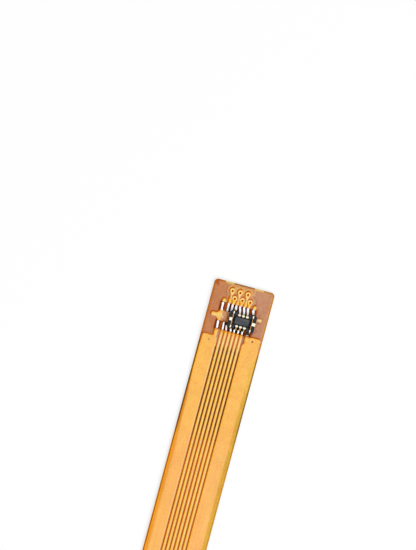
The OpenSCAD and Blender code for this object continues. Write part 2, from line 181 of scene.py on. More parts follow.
def bump(m, height, depth, strength=0.6):
    b = node(m, "Bump", {"Height": height, "Distance": depth * MM, "Strength": strength})
    shade(m, {"Normal": b.outputs["Normal"]})


def scaled(colour, *shares):
    """Colour times a share for each channel, at most 1."""
    return tuple(min(1.0, c * k) for c, k in zip(colour, shares))


def colour_from_mesh(m, cloud):
    """Takes the mesh's tone, made lighter and darker by a cloud."""
    tone = node(m, "Attribute", {}, attribute_name="tone").outputs["Color"]
    grey = node(m, "CombineColor", {0: cloud, 1: cloud, 2: cloud}).outputs[0]
    shade(m, {"Base Color": blend(m, 1.0, tone, grey, "MULTIPLY")})


# Materials


def speckled(name, dark, light, size, rough, metal=0.0, specular=0.5):
    """Material of two colours in blotches of a size, with a fine grain."""
    m = material(name, light, rough, metal, specular)
    blotch = noise(m, size)
    shade(m, {"Base Color": blend(m, ramp(m, blotch, 0, 1, 0.35, 0.7), dark, light),
              "Roughness": ramp(m, blotch, rough + 0.08, rough - 0.08)})
    bump(m, noise(m, 0.05, 3), 0.003)
    return m


def film_material(name, alpha, rough=0.34):
    """Amber polyimide film, cloudier in places and finely dimpled."""
    m = material(name, (0.8, 0.4, 0.08), rough, specular=0.08)
    slow, fine = ramp(m, noise(m, 1.6, 5), 0.95, 1.05), ramp(m, noise(m, 0.2, 3), 0.94, 1.06)
    colour_from_mesh(m, maths(m, "MULTIPLY", slow, fine))
    shade(m, {"Roughness": ramp(m, noise(m, 0.6), rough - 0.08, rough + 0.12),
              "Specular Tint": (1.0, 0.75, 0.3), "Alpha": alpha})
    bump(m, noise(m, 0.09, 3), 0.004)
    return m


def foil_material(name, colour, metal, rough, streaks=1.0):
    """Rolled foil with slow changes of tone and streaks along the cable."""
    m = material(name, colour, rough, metal)
    streak = noise(m, 0.05, 3, 0.6, (1, 40, 1))
    dark, light = scaled(colour, 0.98, 0.92, 0.85), scaled(colour, 1.0, 1.04, 1.1)
    base = blend(m, ramp(m, noise(m, 2.5), 0, 1, 0.35, 0.65), dark, light)
    worn = ramp(m, streak, 0.0, 0.35 * streaks, 0.4, 0.75)
    shade(m, {"Base Color": blend(m, worn, base, scaled(colour, 0.93, 0.93, 0.93)),
              "Roughness": ramp(m, streak, rough - 0.1 * streaks, rough + 0.1 * streaks)})
    bump(m, streak, 0.002, 0.5 * streaks)
    return m


def ring_material():
    """Plating whose colour the rings' mesh gives."""
    m = material("plated_ring", (1.0, 0.74, 0.3), 0.36, 0.3, 0.05)
    colour_from_mesh(m, ramp(m, noise(m, 0.05), 0.9, 1.06))
    bump(m, noise(m, 0.03, 3), 0.002, 0.5)
    return m


def solder_material():
    """Bright solder, whose mesh paints a warm reflection and shade down the flanks."""
    m = material("solder", (1.0, 1.0, 1.0), 0.27, 0.08)
    blotch = noise(m, 0.08)
    colour_from_mesh(m, ramp(m, blotch, 0.97, 1.0, 0.35, 0.7))
    shade(m, {"Roughness": ramp(m, blotch, 0.35, 0.19)})
    bump(m, noise(m, 0.05, 3), 0.003)
    return m


def across_socket(m, axis):
    """Way from the socket's middle along one axis, in millimetres."""
    split = node(m, "SeparateXYZ", {0: coords(m, [1 / MM] * 3)})
    return maths(m, "SUBTRACT", split.outputs[axis], {"X": SOCKET_X, "Y": HALF_L - SOCKET_D}[axis])


def beyond(m, axis, start, end, low=0, high=1):
    """Low up to a distance from the socket's middle, high from another on."""
    return ramp(m, maths(m, "ABSOLUTE", across_socket(m, axis)), low, high, start, end)


def within(m, axis, start, end):
    return beyond(m, axis, start, end, 1, 0)


def sheet_metal(name, bright, dim):
    """Stamped sheet metal, with a worn colour where it is lit and a dim worn copy of it, a painted shade."""
    m = material(name, bright, 0.26, 0.5)
    wear = noise(m, 0.06)
    shade(m, {"Roughness": ramp(m, wear, 0.2, 0.36)})
    bump(m, noise(m, 0.03, 2), 0.0015, 0.5)
    lit_worn = blend(m, ramp(m, wear, 0, 1, 0.4, 0.75), bright, scaled(bright, 0.98, 0.92, 0.8))
    shaded_worn = blend(m, ramp(m, wear, 0, 1, 0.35, 0.7), dim, scaled(dim, 0.72, 0.72, 0.72))
    return m, lit_worn, shaded_worn


def contact_material():
    """Gilt contact, bright on the bend over the wall; painted shade dims the tail outside it."""
    m, lit_worn, shaded_worn = sheet_metal("gilt_contact", (1.0, 0.94, 0.7), (0.55, 0.33, 0.1))
    shade(m, {"Base Color": blend(m, beyond(m, "Y", 0.7, 0.75), lit_worn, shaded_worn)})
    return m


def terminal_material():
    """Bar in a dim orange of painted shade with bright tips and feet of painted shade, and a tab with a
    bright crown, a painted highlight on its right bend and painted shade on its left bend and under the
    crown.
    """
    m, lit_worn, shaded_worn = sheet_metal("terminal_metal", (1.0, 0.94, 0.74), (1.0, 0.47, 0.12))
    bar = maths(m, "MAXIMUM", beyond(m, "Y", 0.16, 0.22), within(m, "X", 1.01, 1.05))
    bar = maths(m, "MULTIPLY", bar, within(m, "Y", 0.57, 0.61))
    # Painted shade on the feet, painted highlight on the right bend, painted shade on the left bend and under
    # the crown
    shaded_feet = beyond(m, "Y", SOCKET_HALF_W - 0.03, SOCKET_HALF_W + 0.01)
    right_bend_lit = ramp(m, across_socket(m, "X"), 0, 1, 1.29, 1.35)
    left_bend_shade = ramp(m, across_socket(m, "X"), 1, 0, -1.33, -1.26)
    crown_shadow = maths(m, "MULTIPLY", within(m, "Y", 0.13, 0.2), within(m, "X", 0.99, 1.03))
    tint = blend(m, bar, lit_worn, shaded_worn)
    for part, colour in ((shaded_feet, (0.2, 0.12, 0.05)), (right_bend_lit, (0.8, 0.46, 0.09)),
                         (left_bend_shade, (0.26, 0.09, 0.005)), (crown_shadow, (0.03, 0.025, 0.02))):
        tint = blend(m, part, tint, colour)
    shade(m, {"Base Color": tint})
    return m


def moulding_material():
    """Moulding compound with flecks and flow marks, darker at the socket's ends."""
    m = material("black_moulding", (0.06, 0.066, 0.073), 0.5, specular=0.2)
    fleck = noise(m, 0.07, 5, 0.65)
    flow = noise(m, 0.5, 3, 0.5, (2.5, 1, 1))
    tint = blend(m, ramp(m, flow, 0, 1, 0.35, 0.7), (0.038, 0.046, 0.06), (0.09, 0.093, 0.094))
    tint = blend(m, ramp(m, fleck, 0, 0.5, 0.55, 0.75), tint, (0.14, 0.136, 0.15))
    tint = blend(m, beyond(m, "X", 0.6, 0.8, 0, 0.9), tint, (0.007, 0.012, 0.024))
    shade(m, {"Base Color": tint, "Roughness": ramp(m, fleck, 0.42, 0.62)})
    bump(m, fleck, 0.003)
    return m


def laminate_material():
    """Brown laminate with a faint weave."""
    m = material("stiffener_laminate", (0.36, 0.17, 0.07), 0.55)
    threads = []
    for direction in ("X", "Y"):
        values = {"Vector": coords(m, [600] * 3), "Scale": 1.0, "Distortion": 0.8}
        wave = node(m, "TexWave", values, wave_type="BANDS", bands_direction=direction)
        threads.append(maths(m, "SUBTRACT", wave.outputs["Fac"], 0.5))
    weave = ramp(m, maths(m, "MULTIPLY", *threads), 0, 1, -0.2, 0.2)
    cloth = blend(m, weave, (0.35, 0.155, 0.06), (0.43, 0.21, 0.09))
    stain = ramp(m, noise(m, 1.5, 5), 0, 0.5, 0.4, 0.75)
    shade(m, {"Base Color": blend(m, stain, cloth, (0.3, 0.125, 0.045)),
              "Roughness": ramp(m, weave, 0.62, 0.48, 0, 1)})
    bump(m, weave, 0.004, 0.5)
    return m


COVER_ALPHA, BACK_ALPHA = 0.55, 0.6
COPPER = (1.0, 0.5, 0.01)
cover_mat = film_material("amber_cover_film", COVER_ALPHA)
back_mat = film_material("amber_back_film", BACK_ALPHA)
base_mat = film_material("amber_base_film", 1.0, 0.5)
bare_mat = film_material("bare_base_film", 1.0, 0.62)
copper_mat = foil_material("copper_foil", COPPER, 0.1, 0.42)
gold_mat = foil_material("gold_plating", (1.0, 0.62, 0.16), 0.4, 0.28, 0.25)
ring_mat = ring_material()
# Painted shade over the lower right power pad
power_pad_shade_mat = speckled("power_pad_shade", (0.008, 0.011, 0.009), (0.03, 0.042, 0.034), 0.12, 0.35, specular=0.3)
# Dark pad cover: painted shade beside the solder beads
pad_shade_mat = speckled("painted_pad_shade", (0.04, 0.01, 0.004), (0.14, 0.045, 0.014), 0.1, 0.5, 0.2, 0.3)
dull_solder_mat = speckled("dull_solder", (0.28, 0.25, 0.23), (0.5, 0.46, 0.43), 0.08, 0.4, 0.8)
solder_mat = solder_material()
contact_mat = contact_material()
bar_mat = terminal_material()
housing_mat = moulding_material()
stiff_mat = laminate_material()


# Copper artwork as signed distances of x and d, negative on the copper


def sd_rect(x, d, x0, x1, d0, d1):
    ax, ad = np.abs(x - (x0 + x1) / 2) - (x1 - x0) / 2, np.abs(d - (d0 + d1) / 2) - (d1 - d0) / 2
    return np.hypot(np.maximum(ax, 0), np.maximum(ad, 0)) + np.minimum(np.maximum(ax, ad), 0)


def sd_disc(x, d, cx, cd, r):
    return np.hypot(x - cx, d - cd) - r


def union(shapes):
    return np.minimum.reduce(shapes)


def sd_poly(x, d, pts):
    best = np.full(x.shape, 1e9)
    inside = np.zeros(x.shape, bool)
    for (ax, ad), (bx, bd) in zip(pts, pts[1:] + pts[:1]):
        ex, ed = bx - ax, bd - ad
        t = np.clip(((x - ax) * ex + (d - ad) * ed) / (ex * ex + ed * ed), 0, 1)
        best = np.minimum(best, np.hypot(x - ax - t * ex, d - ad - t * ed))
        if ed:
            inside ^= ((ad > d) != (bd > d)) & (x < (d - ad) * ex / ed + ax)
    return np.where(inside, -best, best)


def sd_strip(x, d, cx, w, d0, d1):
    return sd_rect(x, d, cx - w / 2, cx + w / 2, d0, d1)


def sd_taper(x, d, cx, half0, d0, half1, d1):
    return sd_poly(x, d, [(cx - half0, d0), (cx - half1, d1), (cx + half1, d1), (cx + half0, d0)])


def sd_drop(x, d, cx, cd, w):
    """Ring drawn out like a drop, with straight flanks down to a neck of width w."""
    flank_x, flank_d = RING_D / 2 * math.cos(FLANK), cd + RING_D / 2 * math.sin(FLANK)
    end = flank_d + (flank_x - w / 2) / math.tan(FLANK)
    return np.minimum(sd_disc(x, d, cx, cd, RING_D / 2), sd_taper(x, d, cx, flank_x, flank_d, w / 2, end))


def signal_art(x, d):
    shapes = []
    for i in SIGNALS:
        cx, ring_d = SIGNAL_X[i], HEAD_RING[i]
        start = LOWER_END - SHORT_PAD if i in CONTACT_X else LOWER
        far = i % 2 == 1
        shapes += [
            sd_strip(x, d, cx, TRACE, start, FINGER_END),
            sd_disc(x, d, cx, TAIL_RING[i], RING_D / 2),
            sd_drop(x, d, cx, ring_d, NECK if far else TRACE),
            sd_strip(x, d, cx, TRACE, NECK_ROOT if far else ring_d + NEAR_ROOT, UPPER_END),
        ]
        if far:
            shapes += [sd_strip(x, d, cx, NECK, ring_d, NECK_ROOT),
                       sd_taper(x, d, cx, NECK / 2, NECK_ROOT - NECK_TAPER, TRACE / 2, NECK_ROOT)]
    return union(shapes)


PAD_ABOVE, PAD_LAP = 0.22, 0.5  # power pad above its window, and into its band
ARM_INSET, ARM_HALF, ARM_R = 0.37, 0.18, 0.1
ROOT_W, ROOT_HALF = 0.24, 0.42  # widened root of the side arm
LEFT_R, FLARE_L, FILLET_R, FILLET_LAP = 0.2, 0.9, 0.18, 0.1
RIGHT_R, SLOPE_W, SLOPE_L = 0.22, 0.52, 0.18
INNER_INSET, INNER_L, INNER_END = 0.1, 0.7, 0.95  # right band's step beside the traces
STUB_INSET, STUB_ABOVE, STUB_BELOW = 0.45, 0.1, 0.2


def left_power_art(x, d):
    """Side arm with its root, and the left band with its flare."""
    mid, top, r, root = MID_ROWS, LEFT_TOP, LEFT_R, LEFT_PAD - POWER_PAD / 2
    arm_d, fillet_x, fillet_d = ARM_HALF - ARM_R, root - FILLET_R, top - FILLET_R
    return [
        sd_rect(x, d, LEFT_EDGE + ARM_INSET + ARM_R, LEFT_PAD, mid - arm_d, mid + arm_d) - ARM_R,
        sd_poly(x, d, [(LEFT_PAD, mid - ROOT_HALF), (root, mid - ROOT_HALF), (root - ROOT_W, mid - ARM_HALF),
                       (root - ROOT_W, mid + ARM_HALF), (root, mid + ROOT_HALF),
                       (LEFT_PAD, mid + ROOT_HALF)]),
        sd_rect(x, d, LEFT_EDGE + r, LEFT_PAD, top + r, FINGER_END) - r,
        sd_poly(x, d, [(LEFT_PAD, top), (LEFT_PAD + POWER_PAD / 2, top), (LEFT_BAND, top + FLARE_L),
                       (LEFT_BAND, FINGER_END), (LEFT_PAD, FINGER_END)]),
        np.maximum(sd_rect(x, d, fillet_x, LEFT_PAD, fillet_d, top + FILLET_LAP),
                   -sd_disc(x, d, fillet_x, fillet_d, FILLET_R)),
    ]


def right_power_art(x, d):
    """Side stub, and the right band with its slope."""
    inner, outer, top, r = RIGHT_PAD - INNER_INSET, RIGHT_HEAD, RIGHT_TOP, RIGHT_R
    return [
        sd_rect(x, d, RIGHT_PAD, outer - STUB_INSET, UPPER_END - STUB_ABOVE, UPPER_END + STUB_BELOW),
        sd_poly(x, d, [(inner, top + SLOPE_L), (RIGHT_PAD + SLOPE_W, top), (outer - r, top),
                       (outer - r, top + r), (outer, top + r), (outer, TAPER),
                       (RIGHT_EDGE, TAPER + TAPER_L), (RIGHT_EDGE, FINGER_END), (RIGHT_BAND, FINGER_END),
                       (RIGHT_BAND, top + INNER_END), (inner, top + INNER_L)]),
        sd_disc(x, d, outer - r, top + r, r),
    ]


def power_art(x, d):
    shapes = left_power_art(x, d) + right_power_art(x, d)
    for cx, band_d in ((LEFT_PAD, LEFT_TOP), (RIGHT_PAD, RIGHT_TOP)):
        shapes += [sd_strip(x, d, cx, POWER_PAD, UPPER - PAD_ABOVE, band_d + PAD_LAP),
                   sd_disc(x, d, cx, UPPER - PAD_ABOVE, POWER_PAD / 2)]
    return union(shapes)


def top_art(x, d):
    return np.minimum(signal_art(x, d), power_art(x, d))


def back_art(x, d):
    """Copper on the strip's back: both bands and the six upper signals."""
    shapes = [sd_rect(x, d, LEFT_EDGE, LEFT_BAND, LEFT_TOP, FINGER_END),
              sd_rect(x, d, RIGHT_BAND, RIGHT_EDGE, RIGHT_TOP, FINGER_END)]
    shapes += [sd_strip(x, d, SIGNAL_X[i], TRACE, UPPER, TAIL_RING[i]) for i in SIGNALS]
    return union(shapes)


def near_windows(x, d):
    return union([sd_rect(x, d, *w) for w in WINDOWS])


def rounded_outline(x, d):
    return sd_rect(x, d, -HALF_W + CORNER_R, HALF_W - CORNER_R, CORNER_R, END_D - CORNER_R) - CORNER_R


# Building blocks of the colour fields


def smooth(a, b, v):
    """0 below a, 1 above b."""
    t = np.clip((v - a) / (b - a), 0, 1)
    return t * t * (3 - 2 * t)


def fade(a, b, v):
    """1 below a, 0 above b."""
    return 1 - smooth(a, b, v)


def bell(v, middle, width):
    return np.exp(-(((v - middle) / width) ** 2))


def spot(x, d, middle, across, along):
    """Weight of a soft oval spot round a middle (x, d)."""
    return bell(np.hypot((x - middle[0]) / across, (d - middle[1]) / along), 0, 1)


def blotches(x, d, size, seed):
    """Smooth random field from 0 to 1 with blotches of a size."""
    cells = 64
    grid = np.random.default_rng(seed).random((cells, cells))
    u, v = x / size + cells // 2, d / size
    i, j = np.floor(u).astype(int), np.floor(v).astype(int)
    fu, fv = smooth(0, 1, u - i), smooth(0, 1, v - j)
    i1 = (i + 1) % cells
    near, far = (grid[i % cells, k % cells] * (1 - fu) + grid[i1, k % cells] * fu for k in (j, j + 1))
    return near * (1 - fv) + far * fv


def look(*srgb):
    """Linear colour of an sRGB colour, from 0 to 255 or a little above."""
    return np.array([((c / 255 + 0.055) / 1.055) ** 2.4 if c > 10 else c / 3294.6 for c in srgb])


def mix(a, b, t):
    a, b = np.asarray(a), np.asarray(b)
    return a + (b - a) * np.asarray(t)[..., None]


def painted(ground, *layers):
    """Ground colour under layers of (sRGB colour, weight)."""
    for colour, weight in layers:
        ground = mix(ground, look(*colour), weight)
    return ground


def shaded(way, stops):
    """Colour along a way, between stops of (distance, sRGB colour)."""
    places, colours = [p for p, c in stops], [look(*c) for p, c in stops]
    return np.stack([np.interp(way, places, [c[k] for c in colours]) for k in range(3)], -1)


def mottled(colour, x, d):
    """Fine cloudiness of the film, with small changes of hue."""
    for size, depth, seed in ((0.12, 0.1, 31), (0.3, 0.1, 41), (0.9, 0.04, 51)):
        for channel, share in enumerate((0.5, 0.8, 1.0)):
            cloud = blotches(x, d, size, seed + channel) + blotches(x, d, size, seed + 3) - 1
            colour[..., channel] *= 1 + depth * share * cloud
    return colour


def film_tone(seen, under, alpha):
    """Tone of a see-through film that makes it look like seen where it lies over under."""
    through, b = (1 - alpha) ** 2, 1 + seen * under
    root = np.sqrt(np.maximum(b * b - 4 * under * (seen - through * under), 0))
    return np.clip((b - root) / (2 * under * alpha), 0, 1)


# Fields of colour on the films

LIGHT = 1.05  # how bright the studio is against a plain white light
SHEEN = np.array((0.012, 0.009, 0.004))  # what the amber gloss adds to a film's colour
COPPER_LIT = np.array(COPPER) * 0.95
RIM, SOFT_EDGE = 0.12, 0.02
HALO_R = 0.5  # pale halo round a ring

# Painted shade by the copper, on the side away from the light from the lower right: its side, its reach round
# a ring, and its weight
SHADE_SIDE = (-0.72, -0.69)
FAR_RING_SHADE = (SHADE_SIDE, (0.1, 0.6), 1.0)
NEAR_RING_SHADE = ((-0.1, -0.99), (0.5, 0.9), 0.75)

# Middles of the marks on the film, as (x, d); those by the neck, the tab, the socket's right, the housing's
# corner and the lower corner are painted shade
CORNER_SMEAR = (0.29 - HALF_W, 0.34)
NECK_SHADE = (SIGNAL_X[1] - 0.15, UPPER - 0.58)
TAB_SHADE = (-0.86, MID_ROWS + 0.06)
SOCKET_RIGHT_SHADE = (2.2, 3.5)
HOUSING_CORNER_SHADE = (WINDOW_X[1] + 0.05, LOWER_END - 0.35)
SHADED_LOWER_CORNER = (1.16, LOWER_END + 0.06)
GREY_SMEAR = (1.2, LOWER_END + 0.5)
FLARE_X, FLARE_GAP_X = -1.45, -1.38

# Copper tinted by the solder's heat, by the distance from the window; the lower tips start with a painted
# shade at the window's edge
UPPER_TIP = [(0.0, (262, 214, 146)), (0.1, (264, 218, 126)), (0.22, (264, 212, 80)),
             (0.36, (262, 192, 56)), (0.5, (250, 164, 30))]
LOWER_TIP = [(0.0, (206, 122, 50)), (0.1, (252, 176, 56)), (0.22, (254, 192, 62)), (0.38, (254, 208, 108))]


def head_part(d):
    """1 on the stiffened head, 0 on the cable."""
    return fade(HEAD_D - 0.35, HEAD_D + 0.25, d)


def far_part(d):
    """0 near the head, 1 on the lighter stretch towards the tail."""
    return smooth(14, 17.5, d)


def darker_left_edge(d):
    """1 where the strip's left edge is darker, 0 where it is not."""
    return smooth(9.3, 10.3, d) * fade(14.5, 16.5, d) + fade(6.4, 7.0, d)


def beside_socket(x, d):
    """Weight of the film on the socket's left, which the socket shades."""
    return bell(d, MID_ROWS, 0.5) * smooth(-1.6, -1.4, x) * fade(-0.5, -0.3, x)


def shade_by_socket(x, d):
    """Weight of the painted shade beside the socket's left tab."""
    return spot(x, d, TAB_SHADE, 0.11, 0.26)


def left_shoulder(x, d):
    """Weight of the left band's upper edge."""
    across = smooth(LEFT_EDGE + 0.05, LEFT_EDGE + 0.2, x) * fade(-2.0, -1.85, x)
    return bell(d, LEFT_TOP, 0.15) * across


def seen_art(x, d):
    """Copper as it shows: glue widens the left band's shoulder and flare."""
    along = smooth(LEFT_TOP, LEFT_TOP + 0.15, d) * fade(LEFT_TOP + 0.8, LEFT_TOP + 1.0, d)
    return top_art(x, d) - 0.05 * left_shoulder(x, d) - 0.06 * along * bell(x, FLARE_X, 0.12)


def covered(s):
    """1 on the copper, 0 beside it, with a soft edge."""
    return fade(-SOFT_EDGE, SOFT_EDGE, s)


def head_film(x, d):
    """Covered film of the head beside the copper, as seen."""
    from_signals = np.abs(x - SIGNALS_MID)
    top = fade(0.6, 1.6, d + 0.4 * blotches(x, d, 0.3, 5)) * fade(0.9, 1.5, np.abs(x + 0.2))
    streak = smooth(0.5, 0.8, blotches(x + 0.4 * d, d, 0.11, 8))
    by_rings = fade(1.2, 1.6, from_signals) * fade(1.7, 2.0, d)
    halo = union([sd_disc(x, d, *middle, HALO_R) for middle in RINGS])
    above_pads = d < UPPER - 0.2
    by_tips = fade(1.15, 1.3, from_signals) * smooth(UPPER - 0.5, UPPER - 0.3, d) * (d < UPPER + 0.1)
    by_traces = smooth(-1.3, -1.18, x) * fade(1.05, 1.2, x)
    flare_gap = bell(x, FLARE_GAP_X, 0.09) * (d > LOWER_END) * (1 - by_traces)
    right_side = bell(x, HALF_W - 0.18, 0.06) * smooth(0.3, 0.6, d)
    # Painted shade right of the socket, mottled
    socket_right_shade = spot(x, d, SOCKET_RIGHT_SHADE, 0.3, 0.9) * smooth(0.4, 0.7, blotches(x, d, 0.16, 9))
    smear = fade(0.1, 0.55, sd_disc(x, d, *CORNER_SMEAR, 0) + 0.25 * blotches(x, d, 0.2, 3))
    front = fade(0.08, 0.2, d) * smooth(0.25, 0.6, blotches(x, d, 0.35, 7))
    film = painted(
        look(195, 130, 88),
        ((198, 142, 108), smooth(-2.5, 1.5, x)),
        ((231, 167, 88), 0.85 * top),
        ((228, 184, 124), 0.7 * by_rings * streak),
        ((214, 172, 118), 0.6 * bell(halo, 0, 0.05) * above_pads),
        ((166, 104, 70), 0.5 * bell(halo, 0.11, 0.05) * above_pads),
        ((208, 112, 20), 0.85 * by_tips),
        ((186, 108, 54), 0.8 * by_traces * (d > LOWER_END - 0.1)),
        ((206, 146, 114), 0.8 * flare_gap),
        ((220, 160, 106), 0.6 * right_side),
        ((152, 108, 92), 0.6 * socket_right_shade),
        ((170, 80, 4), 0.9 * smear),
        # Painted shadow of the housing's corner beside the lower window's right end
        ((92, 38, 14), 0.85 * spot(x, d, HOUSING_CORNER_SHADE, 0.13, 0.28)),
        ((120, 62, 30), 0.7 * front),
    )
    lifted = 1.45  # makes up for the socket's shade
    beside = mix(look(192, 138, 98), look(230, 184, 138), streak) * lifted
    film = mix(film, beside, 0.9 * beside_socket(x, d))
    # Painted shade along the head's left side, away from the light
    film = painted(film, ((192, 110, 46), 0.7 * fade(-3.0, -2.68, x)))
    front_rim = fade(0.1, 0.25, d) * fade(0.8, 1.1, np.abs(x))
    rim = painted(look(184, 100, 8), ((192, 126, 0), smooth(-2, 2, x)), ((156, 96, 52), front_rim))
    return mix(film, rim, fade(0.08, RIM + 0.06, -rounded_outline(x, d)))


def cable_film(x, d):
    """Covered film of the cable beside the copper, as seen."""
    far = far_part(d)
    gap = mix(look(134, 68, 14), look(188, 100, 14), far)
    margin = mix(look(246, 182, 84), look(222, 168, 70), smooth(9.6, 11.2, d))
    left_rim = painted(look(172, 124, 14), ((86, 34, 0), darker_left_edge(d)), ((214, 148, 30), far))
    right_rim = mix(look(128, 98, 0), look(196, 136, 0), far)
    film = mix(gap, margin, smooth(RIGHT_EDGE - 0.05, RIGHT_EDGE + 0.02, x))
    film = mix(film, left_rim, fade(LEFT_EDGE - 0.08, LEFT_EDGE - 0.02, x))
    return mix(film, right_rim, fade(0.07, 0.19, HALF_W - x))


def copper_look(x, d):
    """Covered copper, as seen."""
    far, from_signals = far_part(d), np.abs(x - SIGNALS_MID)
    left_band = mix(look(254, 184, 92), look(254, 182, 98), far)
    right_band = mix(look(254, 185, 94), look(254, 183, 102), far)
    pour = mix(left_band, right_band, smooth(-1.5, -1.2, x))
    pour = mix(look(264, 200, 90), pour, smooth(1.1, 1.4, from_signals))
    # Painted shade along the pour's left edge, away from the light
    warm = painted(look(240, 162, 10), ((228, 136, 0), smooth(9.5, 10.5, d)), ((186, 88, 0), darker_left_edge(d)))
    warm_w = 0.14 + 0.2 * smooth(10.5, 12.5, d) + 0.24 * far
    pour = mix(pour, warm, fade(LEFT_EDGE, LEFT_EDGE + warm_w, x))
    traces = fade(6.5, 8.5, d) * fade(1.1, 1.3, from_signals)
    necks = fade(UPPER - 0.6, UPPER - 0.45, d) * (np.abs(x) < 1.6)
    pour = painted(pour, ((264, 216, 132), traces), ((264, 220, 144), necks))
    on_pad = fade(0.0, 0.05, union([np.abs(x - cx) - w / 2 for cx, w in PADS]))
    for way, stops, reach in ((UPPER - d, UPPER_TIP, 0.45), (d - LOWER_END, LOWER_TIP, 0.35)):
        pour = mix(pour, shaded(way, stops), on_pad * (way > -0.1) * fade(reach, 0.55, way))
    pour = painted(pour, ((254, 202, 110), bell(d, MID_ROWS, 0.4) * (x < LEFT_PAD + POWER_PAD)))
    stub = bell(d, UPPER_END + 0.05, 0.3) * smooth(RIGHT_PAD, RIGHT_PAD + 0.3, x)
    stub_look = mix(look(230, 180, 146), look(255, 224, 152), smooth(2.1, 2.25, x))
    pour = mix(pour, stub_look, stub)
    return painted(pour, ((170, 138, 96), 0.7 * spot(x, d, LEFT_VIA, 0.09, 0.09)))


def painted_edge_shade(x, d, s):
    """Weight of the painted shade beside the copper, on the side away from the light, and how far an edge
    faces that side, from -1 to 1.
    """
    e = 0.012
    nx = (top_art(x + e, d) - top_art(x - e, d)) / (2 * e)
    nd = (top_art(x, d + e) - top_art(x, d - e)) / (2 * e)
    away = nx * SHADE_SIDE[0] + nd * SHADE_SIDE[1]
    reach = 0.05 + 0.035 * head_part(d)
    dark = bell(s, reach, 0.65 * reach + 0.018) * np.clip(0.3 + 0.9 * away, 0, 1)
    # Painted shade in crescents round the rings
    for k, (cx, cd) in enumerate(RINGS):
        rx, rd = x - cx, d - cd
        side, span, weight = NEAR_RING_SHADE if k % 2 else FAR_RING_SHADE
        round_ring = (rx * side[0] + rd * side[1]) / (np.hypot(rx, rd) + 1e-9)
        crescent = fade(0.035, 0.125, np.abs(np.hypot(1.25 * rx, rd) - 0.36))
        dark = np.maximum(dark, weight * crescent * smooth(*span, round_ring))
    # Painted shade beside the first ring's neck
    dark = np.maximum(dark, 0.9 * spot(x, d, NECK_SHADE, 0.07, 0.15))
    on_stub = bell(d, UPPER_END, 0.4) * smooth(RIGHT_PAD, RIGHT_PAD + 0.3, x)
    return dark * (1 - 0.8 * on_stub), away


def beside_copper(x, d, s, dark, facing, turned):
    """Covered film beside the copper, with painted shade and painted highlights along its edges and painted
    shade at the windows, as seen.
    """
    head = head_part(d)
    near_power = head * fade(0.0, 0.15, power_art(x, d))
    flare = smooth(LOWER_END, LOWER_END + 0.3, d) * (x > LEFT_PAD) * (x < SIGNAL_X[1])
    outline = near_power * (1 - flare)
    film = mix(cable_film(x, d), head_film(x, d), head)
    # Painted highlight beside edges turned to the light
    film = painted(film, ((230, 178, 128), (0.35 + 0.15 * head) * turned * bell(s, 0.02, 0.04)))
    # Painted shade beside the copper, on the side away from the light
    shade_look = mix(look(100, 36, 0), look(176, 74, 0), far_part(d))
    shade_look = painted(shade_look, ((200, 92, 0), head), ((150, 60, 0), outline))
    film = mix(film, shade_look, 0.96 * dark * (1 - 0.5 * flare * head))
    # Painted shade line along the edges away from the light
    edge = mix(look(228, 128, 0), look(178, 90, 0), near_power)
    rimmed = np.maximum(outline, head * (d < UPPER))
    film = mix(film, edge, 0.7 * rimmed * facing * bell(s, 0.02, 0.045))
    # Painted shade round the windows' ends
    window_end_shade = bell(union([np.abs(x - end) for end in WINDOW_X]), 0, 0.1) * fade(0.06, 0.18, near_windows(x, d))
    # Painted shade along the lower window's end and at its right corner
    lower_end_shade = bell(d, LOWER_END + 0.02, 0.05) * smooth(-0.75, -0.6, x) * fade(1.2, 1.35, x)
    lower_end_shade = np.maximum(lower_end_shade, spot(x, d, SHADED_LOWER_CORNER, 0.12, 0.13))
    return painted(
        film,
        ((172, 72, 0), 0.85 * window_end_shade),
        ((92, 36, 6), 0.8 * lower_end_shade),
        ((140, 88, 84), 0.5 * spot(x, d, GREY_SMEAR, 0.08, 0.3)),
        # Painted shade beside the socket's left tab
        ((156, 64, 0), 0.9 * shade_by_socket(x, d)),
    )


def over_copper(x, d, s, facing, turned):
    """Covered copper with a painted highlight on edges turned to the light, and a painted shade, an orange
    flank, on edges away from it, as seen.
    """
    far = far_part(d)
    # Painted highlight on copper edges turned to the light
    highlight = (0.75 - 0.15 * far) * smooth(0.15, 0.5, near_windows(x, d)) * turned * bell(s, -0.03, 0.06)
    highlight_look = mix(look(262, 222, 154), look(262, 212, 174), far)
    ring_r = union([sd_disc(x, d, *middle, 0) for middle in RINGS])
    # Painted shade, an orange flank, on copper edges away from the light
    shaded_flank = (0.9 - 0.1 * far) * smooth(0.24, 0.28, ring_r) * facing * bell(s, 0, 0.075)
    shaded_flank_look = mix(look(236, 138, 0), look(246, 146, 0), far)
    shaded_flank_look = painted(shaded_flank_look, ((196, 96, 0), darker_left_edge(d) * (x < LEFT_EDGE + 0.3)))
    copper = mix(copper_look(x, d), highlight_look, highlight)
    copper = mix(copper, shaded_flank_look, shaded_flank * (1 - 0.3 * left_shoulder(x, d)))
    # Painted shade just inside the copper's edges away from the light, on the cable
    return painted(copper, ((260, 190, 30), 0.45 * (1 - head_part(d)) * facing * bell(s, -0.07, 0.05)))


def cover_tone(x, d):
    """Tone that makes the cover film look as seen."""
    s = seen_art(x, d)
    dark, away = painted_edge_shade(x, d, s)
    # Edges on the shaded side get painted shade, edges turned to the light painted highlights, except near
    # the right pour's edge
    facing, turned = np.clip(1.35 * away, 0, 1), np.clip(-1.35 * away, 0, 1) * fade(2.2, 2.4, x)
    off, over = beside_copper(x, d, s, dark, facing, turned), over_copper(x, d, s, facing, turned)
    under = mix(base_tone(x, d), COPPER_LIT, covered(top_art(x, d)))
    seen = mottled(mix(off, over, covered(s)), x, d)
    return film_tone(np.maximum(seen / LIGHT - SHEEN, 0), under, COVER_ALPHA)


